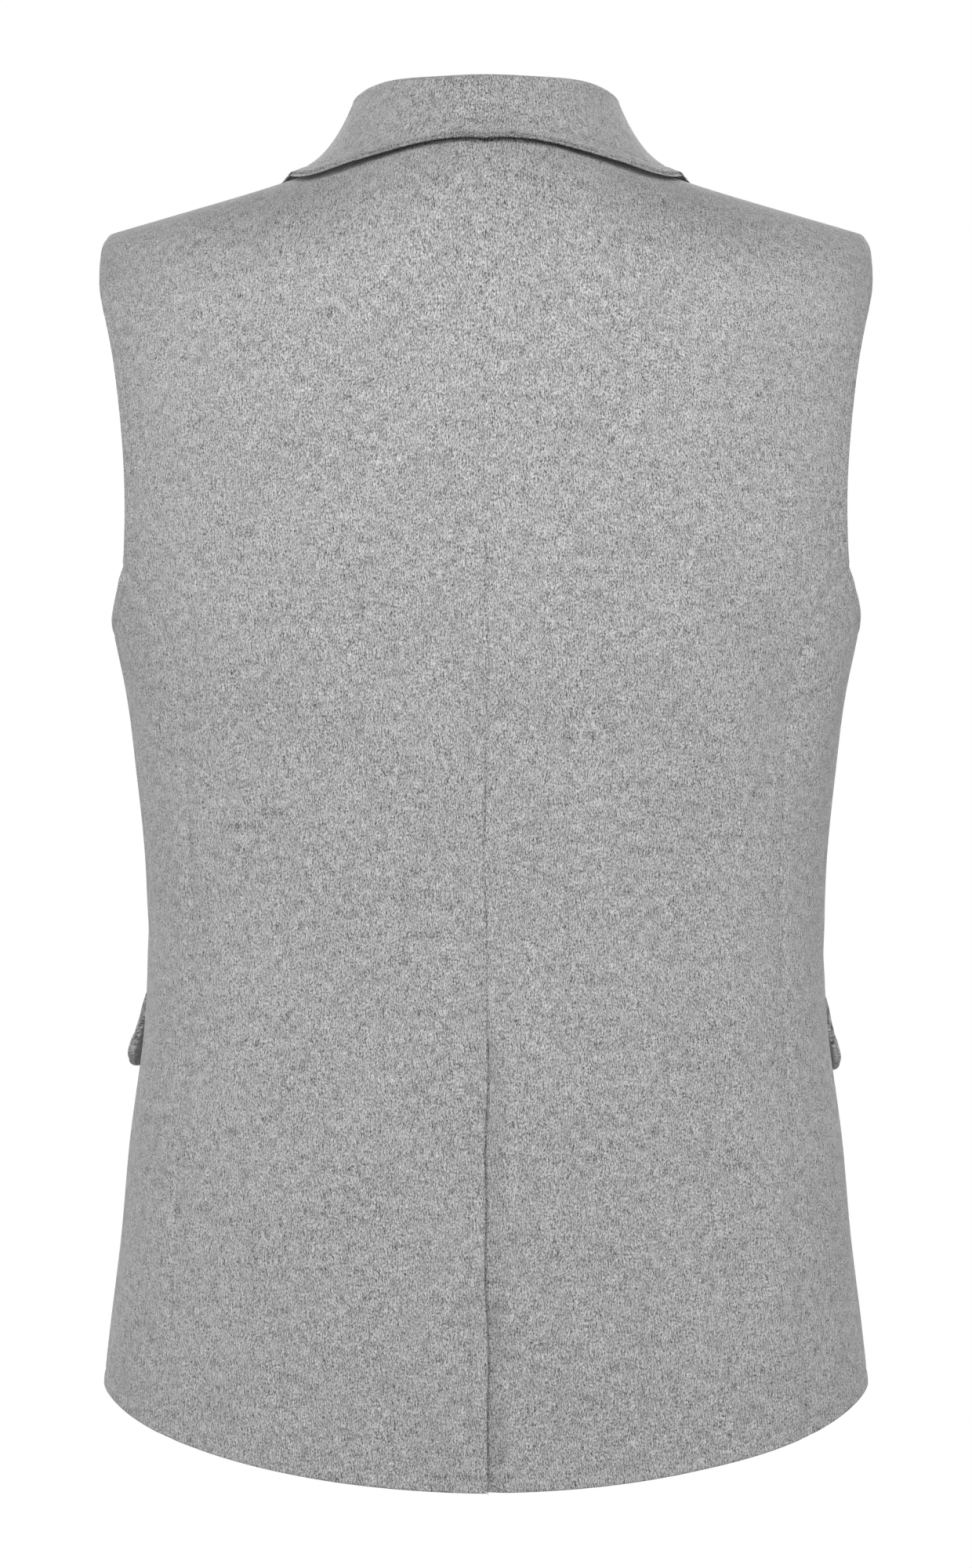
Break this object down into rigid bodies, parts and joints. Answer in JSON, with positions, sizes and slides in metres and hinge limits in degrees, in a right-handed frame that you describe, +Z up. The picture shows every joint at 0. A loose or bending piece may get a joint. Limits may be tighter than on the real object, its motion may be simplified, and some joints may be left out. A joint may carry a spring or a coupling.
{
  "type": "suit waistcoat",
  "caption": "Sleeveless tailored jacket in brushed grey wool, filled out and hollow, with a turned collar, lapels, flapped hip pockets and a centre back vent.",
  "frame": {"origin": "on the centre plane, level with the points where the shoulder seams meet the neck, where a wearer's neck and shoulders hold the garment", "axes": "+Z up, the wearer faces -Y, so the back faces +Y and the wearer's left is +X"},
  "size_m": [0.434, 0.2491, 0.7795],
  "materials": {
    "wool": "brushed double-faced wool, melange mid grey",
    "horn": "dark grey polished horn-like resin"
  },
  "bodies": {
    "root": {"back_left": "wool", "back_right": "wool", "side_left": "wool", "side_right": "wool", "front_left": "wool", "front_right": "wool", "collar": "wool", "lapel_left": "wool", "lapel_right": "wool", "flap_left": "wool", "flap_right": "wool", "button_upper": "horn", "button_lower": "horn"}
  },
  "joints": []
}
